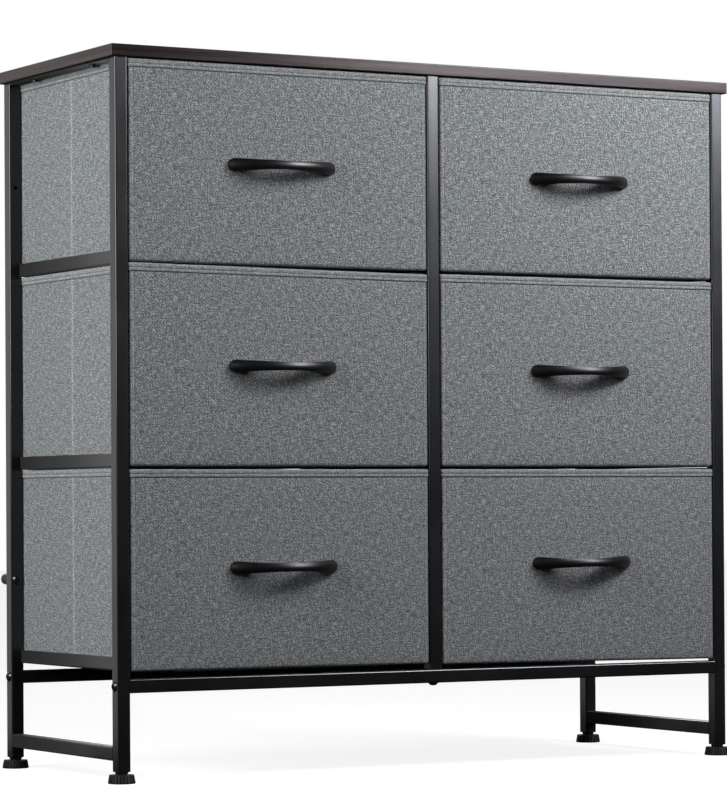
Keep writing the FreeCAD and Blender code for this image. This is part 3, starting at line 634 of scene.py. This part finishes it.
def wall_line(low, high, radius, fractions):
    """A closed line round the walls: places, outward directions, which wall, and place along it.

    It runs down the left wall to the front, then right, back and left again, so the cloth's join is
    at the rear left corner. Every line has the same number of points, whatever its size."""
    middle = ((low[0] + high[0]) / 2, (low[1] + high[1]) / 2)
    half_x = (high[0] - low[0]) / 2 - radius
    half_y = (high[1] - low[1]) / 2 - radius
    walls = [
        ((-1, 0), (0, -1), half_y, low[0], None), ((0, -1), (1, 0), half_x, None, low[1]),
        ((1, 0), (0, 1), half_y, high[0], None), ((0, 1), (-1, 0), half_x, None, high[1]),
    ]  # in the order LEFT, FRONT, RIGHT, BACK
    rows = []
    for number, (out, along, half, fixed_x, fixed_y) in enumerate(walls):
        for fraction in fractions[number]:
            x = fixed_x if fixed_x is not None else middle[0] + along[0] * fraction * half
            y = fixed_y if fixed_y is not None else middle[1] + along[1] * fraction * half
            rows.append((x, y, out[0], out[1], number, fraction * half, half))
        centre_x = middle[0] + out[0] * half_x + along[0] * half_x
        centre_y = middle[1] + out[1] * half_y + along[1] * half_y
        for step in range(1, CORNER_STEPS):
            angle = math.radians(90) * step / CORNER_STEPS
            nx = out[0] * math.cos(angle) + along[0] * math.sin(angle)
            ny = out[1] * math.cos(angle) + along[1] * math.sin(angle)
            rows.append((centre_x + radius * nx, centre_y + radius * ny, nx, ny, ROUNDED, 0, 1))
    return np.array(rows)


print("points along the walls of a bin:", sum(map(len, wall_stations(0.18, 0.14))))

# %% [markdown]
# ## The hem's profile
#
# From below: the wall, a thin dark groove where the hem's raw edge is turned under, the doubled
# cloth standing a millimetre proud, a shallow dent where the stitches pull it in, and the rounded
# rim. Beside each height stand the offset outward and how much shade collects there, because such
# a groove is narrower than the light can reach.

# %% Profile rows
HEM_PROFILE = [
    # millimetres below the rim, millimetres outward, shade from 0 to 1
    (10.2, 0.0, 0.00), (9.5, -0.15, 0.35), (9.15, -0.35, 1.00), (8.8, 0.25, 0.75),
    (8.4, 0.75, 0.10), (7.4, 1.00, 0.00), (6.0, 0.90, 0.00), (5.4, 0.60, 0.20),
    (5.0, 0.45, 0.45), (4.6, 0.60, 0.20), (4.0, 0.90, 0.00), (2.4, 1.00, 0.00),
    (1.2, 0.85, 0.00), (0.5, 0.40, 0.00), (0.1, -0.30, 0.05),
]
HEM_DEPTH = HEM_PROFILE[0][0] * MM
LINING_FROM = 9.2  # millimetres below the rim, on the inside
EDGE_STEPS = 5
INNER_STEPS = 12


def profile_rows(height):
    """Rows from the bottom edge, up the outside, over the rim and down the inside.

    Each row: height, offset outward, 0 on the outer line to 1 on the inner one, shade, cloth."""
    rows = []
    for step in range(EDGE_STEPS + 1):
        angle = math.radians(90) * step / EDGE_STEPS
        rise = BOTTOM_EDGE * (1 - math.cos(angle))
        tucked = BOTTOM_EDGE * (math.sin(angle) - 1)
        rows.append((rise, tucked, 0.0, 0.35 * (1 - step / EDGE_STEPS), "outer"))
    top_of_wall = height - HEM_DEPTH
    count = int(round((top_of_wall - BOTTOM_EDGE) / GRID))
    for step in range(1, count):
        z = BOTTOM_EDGE + (top_of_wall - BOTTOM_EDGE) * step / count
        rows.append((z, 0.0, 0.0, 0.0, "outer"))
    for drop, out, shade in HEM_PROFILE:
        rows.append((height - drop * MM, out * MM, 0.0, shade, "outer"))
    rows.append((height, -0.8 * MM, 0.15, 0.0, "outer"))
    rows.append((height, 0.0, 0.55, 0.0, "outer"))
    rows.append((height - 0.1 * MM, 0.0, 0.90, 0.0, "outer"))
    for drop, out, shade in reversed(HEM_PROFILE[:-1]):
        kind = "outer" if drop < LINING_FROM else "inner"
        rows.append((height - drop * MM, -0.5 * out * MM, 1.0, shade, kind))
    bottom = FLOOR_CLOTH + 1.0 * MM
    for step in range(1, INNER_STEPS + 1):
        z = top_of_wall + (bottom - top_of_wall) * step / INNER_STEPS
        rows.append((z, 0.0, 1.0, 0.0, "inner"))
    return rows


print("rows in the profile:", len(profile_rows(0.2165)))

# %% [markdown]
# ## Slack cloth
#
# No cloth wall is quite flat. Each wall gets a slow waviness from a few sines with random phases,
# and every bin has a fixed seed of its own, so that no two are alike and each comes out the same
# every time. The front is crowned by its padding, and has a pinch beside each upright edge where
# the cloth is drawn round the board. The sides have the raised fold down their middle, and draw in
# beside it.

# %% Offsets of the walls
SIDE_FOLD = 0.9 * MM
SIDE_DRAW = 0.5 * MM
SIDE_BELLY = 0.6 * MM
FRONT_CROWN = 0.5 * MM
EDGE_PINCH = 0.35 * MM
FADE = 12 * MM
SLACK = (0.45, 0.25, 0.45, 0.4)  # millimetres, for LEFT, FRONT, RIGHT and BACK


def waves(seed, amount):
    """A slow, smooth waviness of two places in metres, at most about amount."""
    dice = random.Random(seed)
    terms = [
        (dice.uniform(12, 34), dice.uniform(10, 30), dice.uniform(0, 6.28), dice.uniform(0.5, 1))
        for _ in range(5)]
    total = sum(term[3] for term in terms)

    def height(along, z):
        return amount * sum(size * np.sin(across * along + rise * z + phase)
                            for across, rise, phase, size in terms) / total
    return height


def wall_offset(wall, along, half, z, height, slack):
    """How far the cloth of a wall stands out, in metres, at places along it and one height."""
    if wall == ROUNDED:
        return 0.0
    from_hem = height - z - LINING_FROM * MM
    fade_ends = 1 - (along / half) ** 8
    fade_rise = np.clip(z / FADE, 0, 1) * np.clip(from_hem / FADE, 0, 1)
    ripple = slack[int(wall)](along, z) * fade_ends * fade_rise
    if wall in (LEFT, RIGHT):
        fold = SIDE_FOLD * np.exp(-(along / (1.3 * MM)) ** 2)
        draw = -SIDE_DRAW * np.exp(-(along / (14 * MM)) ** 2)
        belly = -SIDE_BELLY * np.sin(math.pi * abs(along) / half) ** 2
        rise = np.clip(z / (8 * MM), 0, 1) * (0.35 + 0.65 * fade_rise)
        return ripple + (fold + draw + belly) * rise
    crown = FRONT_CROWN * (1 - (along / half) ** 2)
    pinch = -EDGE_PINCH * np.exp(-((half - abs(along)) / (1.0 * MM)) ** 2)
    return (crown + ripple) * fade_rise + pinch * fade_rise


print("slack of a front, at most", SLACK[FRONT], "mm")

# %% [markdown]
# ## Droop, sag and rims
#
# The floor hangs between the two runners that carry it, and the front wall, which stands ahead of
# them, drops a little with use. The lowest bins carry the most and drop the furthest, the right one
# more at its outer corner. The rims aren't level either: the sides are held up by their boards, and
# the fronts lean a millimetre up or down. Droop is given at the two ends of the front, and the
# rim's lift at the sides and then at the front's left end, middle and right end, all in
# millimetres. The bins above another sag less, so that the one below slides out under them.

# %% Droop and lift of each bin
DROOP = {
    "lower_left": (1.8, 3.0), "lower_right": (4.5, 7.6),
    "middle_left": (0.9, 1.0), "middle_right": (1.0, 0.9),
    "upper_left": (0.1, 0.8), "upper_right": (0.6, 0.6),
}
RIM_LIFT = {
    "lower_left": (1.2, -0.9, -0.9, -0.9), "lower_right": (1.0, -0.9, -0.9, -0.9),
    "middle_left": (1.0, 1.8, 0.0, -1.7), "middle_right": (1.0, -0.8, -0.8, -0.8),
    "upper_left": (2.2, 1.6, 1.5, 1.5), "upper_right": (2.2, 1.5, 1.5, 1.5),
}
FLOOR_SAG = {"lower": 4.0, "middle": 1.2, "upper": 1.2}
RUNNER_REACH = 16 * MM
SAG_REACH = 60 * MM


def part_way(distance, reach):
    """A number from 0 to 1, as a distance goes from nothing to its reach."""
    return np.clip(distance / reach, 0, 1)


def eased(amount):
    """A number from 0 to 1 again, but one that starts and ends gently."""
    return amount * amount * (3 - 2 * amount)


def rim_lift(x, y, z, low, high, lift):
    """How far a point of the bin rises with its rim."""
    side, *front = lift
    across = part_way(x - low[0], high[0] - low[0])
    ahead = np.clip(1 - (y - low[1] - 5 * MM) / (8 * MM), 0, 1)
    amount = side * (1 - ahead) + np.interp(across, (0, 0.5, 1), front) * ahead
    upper = part_way(z - low[2], high[2] - low[2])
    return amount * MM * upper ** 3


def sag(x, y, z, low, high, droop, floor_sag):
    """How far a point of the bin sinks: the front's droop and the floor's sag."""
    across = part_way(x - low[0], high[0] - low[0])
    front = (droop[0] + (droop[1] - droop[0]) * across ** 1.5) * MM
    ahead = eased(np.clip(1 - (y - low[1]) / (15 * MM), 0, 1))
    upper = part_way(z - low[2], high[2] - low[2])
    inboard = eased(part_way(np.minimum(x - low[0], high[0] - x) - RUNNER_REACH, SAG_REACH))
    near_floor = np.clip(1 - (z - low[2]) / (12 * MM), 0, 1)
    return (front * ahead * (1 - upper) ** 1.5
            + floor_sag * MM * inboard * near_floor * (1 - ahead))


print("largest droop:", max(max(ends) for ends in DROOP.values()), "mm")

# %% [markdown]
# ## The rings of a bin
#
# Each row of the profile becomes a ring of vertices round the bin. A ring also carries what the
# cloth's material reads from it: the shade of the hem's groove and of a groove beside the front's
# upright edges, and the paler colour painted on the hem band, the side folds and those edges.

# %% Rings
EDGE_GROOVE = 2.0 * MM
PALE_EDGE = 0.45
CAP_RINGS = 7
Ring = namedtuple("Ring", "places shade pale kind drop")


def wall_marks(line):
    """Shade and paleness round a line: at the front's upright edges and the side folds."""
    wall, along, half = line[:, 4:7].T
    from_edge = half - abs(along)
    beside_groove = abs(from_edge - EDGE_GROOVE) < 0.4 * MM
    shade = np.where((wall == FRONT) & beside_groove, 0.35, 0.0)
    fold = np.where(np.isin(wall, (LEFT, RIGHT)), np.exp(-(along / (1.6 * MM)) ** 2), 0)
    edge = (wall == FRONT) & (from_edge < EDGE_GROOVE - 0.5 * MM)
    return shade, np.maximum(fold, PALE_EDGE * edge)


def wall_rings(outer, inner, base, height, slack):
    """Rings from the bottom edge over the rim to the inner floor."""
    edge_shade, edge_pale = wall_marks(outer)
    on_side = len(outer) // 4
    rings = []
    for z, out, inward, shade, kind in profile_rows(height):
        line = outer * (1 - inward) + inner * inward
        offset = np.array([
            wall_offset(wall, along, half, z, height, slack)
            for wall, along, half in outer[:, 4:7]])
        offset = offset * (1 - 1.6 * inward if inward < 0.6 else -0.4) + out
        xy = line[:, :2] + outer[:, 2:4] * offset[:, None]
        places = np.column_stack([xy, np.full(len(outer), base + z)])
        drop = 0.0
        if rings:
            step = np.linalg.norm(places[on_side] - rings[-1].places[on_side])
            drop = rings[-1].drop + float(step)
        is_outer = kind == "outer"
        # a paler colour is painted on the proud hem band, the side folds and the front's edges
        pale = np.maximum(edge_pale, PALE_EDGE * (out > 0.3 * MM)) * is_outer
        rings.append(Ring(places, np.maximum(shade, edge_shade * is_outer), pale, kind, drop))
    return rings


def floor_rings(edge, z, kind):
    """Rings that shrink from an edge to the middle of a floor, and that middle."""
    heart = edge.mean(axis=0)
    plain = np.zeros(len(edge))
    rings = []
    for step in range(1, CAP_RINGS):
        xy = heart[:2] + (edge[:, :2] - heart[:2]) * (1 - step / CAP_RINGS)
        places = np.column_stack([xy, np.full(len(edge), z)])
        rings.append(Ring(places, plain, plain, kind, 0.0))
    return rings, (heart[0], heart[1], z)


print("rings in each floor:", CAP_RINGS - 1)

# %% [markdown]
# ## The skin of a bin
#
# Neighbouring rings are joined by quads. The inside floor and the underside are closed by rings
# that shrink to a point, so the mesh is one closed skin. Its UV map is the distance round the wall
# and along the profile, in metres, so the weave keeps its scale. On floors it is the place itself.

# %% Skin
CLOTHS = {"outer": linen, "inner": lining, "under": under_cloth}


def skin(stack, points, run):
    """Faces, material slots and UVs of a stack of rings, whose two middles are the last points."""
    slot_of = {kind: number for number, kind in enumerate(CLOTHS)}
    count, last = len(run) - 1, len(stack) - 1
    faces, slots, uvs = [], [], []
    for row in range(last):
        low_drop, high_drop = stack[row].drop, stack[row + 1].drop
        flat = row < CAP_RINGS - 1 or row >= last - (CAP_RINGS - 1)
        for column in range(count):
            following = (column + 1) % count
            faces.append([row * count + column, row * count + following,
                          (row + 1) * count + following, (row + 1) * count + column])
            slots.append(slot_of[stack[row].kind])
            if flat:
                uvs += [tuple(points[corner][:2]) for corner in faces[-1]]
            else:
                uvs += [(run[column], low_drop), (run[column + 1], low_drop),
                        (run[column + 1], high_drop), (run[column], high_drop)]
    for column in range(count):
        following = (column + 1) % count
        for face, kind in (
                ((following, column, len(points) - 2), "under"),
                ((last * count + column, last * count + following, len(points) - 1), "inner")):
            faces.append(face)
            slots.append(slot_of[kind])
            uvs += [tuple(points[corner][:2]) for corner in face]
    return faces, slots, uvs


def cloth_piece(name, points, stack, run):
    """The skin as an object, with its UV map, its marks and its three cloths."""
    faces, slots, uvs = skin(stack, points, run)
    mesh = bpy.data.meshes.new(name)
    mesh.from_pydata(points.tolist(), [], faces)
    mesh.uv_layers.new(name="cloth").data.foreach_set("uv", np.array(uvs).ravel())
    for mark in ("shade", "pale"):
        amounts = np.concatenate([getattr(ring, mark) for ring in stack] + [[0, 0]])
        mesh.attributes.new(mark, "FLOAT", "POINT").data.foreach_set("value", amounts)
    for material in CLOTHS.values():
        mesh.materials.append(material)
    mesh.polygons.foreach_set("material_index", slots)
    mesh.polygons.foreach_set("use_smooth", [True] * len(faces))
    mesh.update()
    piece = bpy.data.objects.new(name, mesh)
    bpy.context.scene.collection.objects.link(piece)
    return piece


print("cloths of a bin:", list(CLOTHS))

# %% [markdown]
# ## One whole bin
#
# The outer and the inner line have the same number of points, so a row can stand anywhere between
# them. Rims lift and fronts and floors sag last, when all the points are there. The line that the
# stitches follow is the ring at their height, a little proud of the cloth and lifted with the rim.

# %% One bin
STITCH_DROP = 5.0 * MM
STITCH_PROUD = 0.15 * MM


def build_bin(drawer, seed):
    """The cloth bin that stands for a drawer's plain solid, and the line of its stitches."""
    low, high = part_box(drawer + "_drawer_bin")
    height = high[2] - low[2]
    fractions = wall_stations(
        (high[0] - low[0]) / 2 - CORNER, (high[1] - low[1]) / 2 - CORNER)
    outer = wall_line(low, high, CORNER, fractions)
    inner = wall_line(
        (low[0] + SIDE_WALL, low[1] + FRONT_WALL), (high[0] - SIDE_WALL, high[1] - SIDE_WALL),
        INNER_CORNER, fractions)
    slack = [waves(seed * 10 + wall, amount * MM) for wall, amount in enumerate(SLACK)]
    walls = wall_rings(outer, inner, low[2], height, slack)
    under, under_middle = floor_rings(walls[0].places, low[2], "under")
    inside, inside_middle = floor_rings(walls[-1].places, low[2] + FLOOR_CLOTH, "inner")
    stack = under[::-1] + walls + inside
    points = np.vstack([ring.places for ring in stack] + [[under_middle], [inside_middle]])
    where = points.T.copy()
    points[:, 2] += rim_lift(*where, low, high, RIM_LIFT[drawer])
    points[:, 2] -= sag(*where, low, high, DROOP[drawer], FLOOR_SAG[drawer.split("_")[0]])

    gaps = np.hypot(*(np.roll(outer[:, :2], -1, axis=0) - outer[:, :2]).T)
    run = np.concatenate([[0], np.cumsum(gaps)])
    piece = cloth_piece(drawer + "_drawer_cloth_bin", points, stack, run)

    seam_height = high[2] - STITCH_DROP
    nearest = min(walls, key=lambda ring: abs(ring.places[0][2] - seam_height))
    seam = nearest.places.copy()
    seam[:, :2] += outer[:, 2:4] * STITCH_PROUD
    seam[:, 2] += rim_lift(*seam.T, low, high, RIM_LIFT[drawer])
    return piece, seam


print("a bin's stitches lie", round(STITCH_DROP / MM, 1), "mm below its rim")

# %% [markdown]
# ## Stitches
#
# The hem is held by a lockstitch of about 3 mm, five millimetres under the rim. Each stitch could
# be a curve, but hundreds of them repeat round every bin, so Geometry Nodes lay one small rounded
# stitch along the line of the hem. The tree resamples the line at the stitch's pitch, turns each
# copy along the line's tangent, makes the copies real and gives them the thread's material.

# %% Stitch tree
def stitch_tree():
    """Geometry nodes that sew along a curve. Inputs: pitch, length and thickness, in metres."""
    tree = bpy.data.node_groups.new("Sew along a line", "GeometryNodeTree")
    face = tree.interface
    face.new_socket("Line", in_out="INPUT", socket_type="NodeSocketGeometry")
    for name in ("Pitch", "Length", "Thickness"):
        face.new_socket(name, in_out="INPUT", socket_type="NodeSocketFloat")
    face.new_socket("Stitches", in_out="OUTPUT", socket_type="NodeSocketGeometry")
    given = tree.nodes.new("NodeGroupInput").outputs
    places = add(tree, "GeometryNodeCurveToPoints", {
        "Curve": given["Line"], "Length": given["Pitch"]}, mode="LENGTH")
    ball = add(tree, "GeometryNodeMeshUVSphere", {"Segments": 6, "Rings": 5, "Radius": 0.5})
    shape = add(tree, "ShaderNodeCombineXYZ", {
        "X": given["Thickness"], "Y": given["Thickness"], "Z": given["Length"]})
    stitches = add(tree, "GeometryNodeInstanceOnPoints", {
        "Points": places.outputs["Points"], "Instance": ball.outputs["Mesh"],
        "Rotation": places.outputs["Rotation"], "Scale": shape.outputs["Vector"]})
    real = add(tree, "GeometryNodeRealizeInstances", {"Geometry": stitches.outputs["Instances"]})
    smooth = add(tree, "GeometryNodeSetShadeSmooth", {"Geometry": real.outputs["Geometry"]})
    painted = add(tree, "GeometryNodeSetMaterial", {
        "Geometry": smooth.outputs["Geometry"], "Material": thread})
    add(tree, "NodeGroupOutput", {"Stitches": painted.outputs["Geometry"]})
    return tree


sewing = stitch_tree()
print("stitch tree:", len(sewing.nodes), "nodes")

# %% [markdown]
# ## Sewing a hem
#
# The tree needs a curve to work on. It gets a closed one through the line's places, which is
# evaluated, kept as a plain mesh and thrown away, so nothing is left to work out later.

# %% Sew a hem
STITCH = {"Pitch": 3.4 * MM, "Length": 3.0 * MM, "Thickness": 0.55 * MM}


def sew(name, line):
    """Stitches along a closed line of places, as one plain mesh."""
    curve = bpy.data.curves.new(name + "_line", "CURVE")
    curve.dimensions = "3D"
    spline = curve.splines.new("POLY")
    spline.points.add(len(line) - 1)
    for point, place in zip(spline.points, line):
        point.co = (*place, 1)
    spline.use_cyclic_u = True
    holder = bpy.data.objects.new(name + "_line", curve)
    bpy.context.scene.collection.objects.link(holder)
    modifier = holder.modifiers.new("Sewing", "NODES")
    modifier.node_group = sewing
    for item in sewing.interface.items_tree:
        if item.in_out == "INPUT" and item.name in STITCH:
            modifier[item.identifier] = STITCH[item.name]
    view = bpy.context.evaluated_depsgraph_get()
    mesh = bpy.data.meshes.new_from_object(holder.evaluated_get(view), depsgraph=view)
    bpy.data.objects.remove(holder)
    mesh.name = name
    piece = bpy.data.objects.new(name, mesh)
    bpy.context.scene.collection.objects.link(piece)
    return piece


print("stitches", round(STITCH["Pitch"] / MM, 1), "mm apart")

# %% [markdown]
# ## The six bins
#
# Each bin takes the place of its plain solid and rides on its drawer, and so do its stitches, so
# both slide out with it. The seed is the bin's number, from the lower left to the upper right.

# %% Six bins
triangles = 0
for number, name in enumerate(DROOP, start=1):
    drawer = name + "_drawer"
    piece, seam_line = build_bin(name, seed=number)
    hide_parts(drawer + "_bin")
    stitches = sew(drawer + "_hem_stitches", seam_line)
    for item in (piece, stitches):
        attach(item, drawer)
        triangles += sum(len(face.vertices) - 2 for face in item.data.polygons)
print("bins and stitches:", triangles, "triangles")

# %% [markdown]
# ## A lamp behind the dresser
#
# All the lamps so far stand in front or at the left, so the back would be black. One more soft lamp
# lights it. A lamp behind also throws a shadow forward over the floor, so this one is told, by
# light linking, to light the pieces of the dresser and nothing else.

# %% Lamp behind
dresser_pieces = bpy.data.collections.new("dresser_pieces")
for item in bpy.data.objects:
    if item.type == "MESH" and item != floor:
        dresser_pieces.objects.link(item)
behind = softbox("back_softbox", (0.9, 2.6, 1.6), (0.0, 0.15, 0.45), 1.8, 1.8, 60)
behind.light_linking.receiver_collection = dresser_pieces
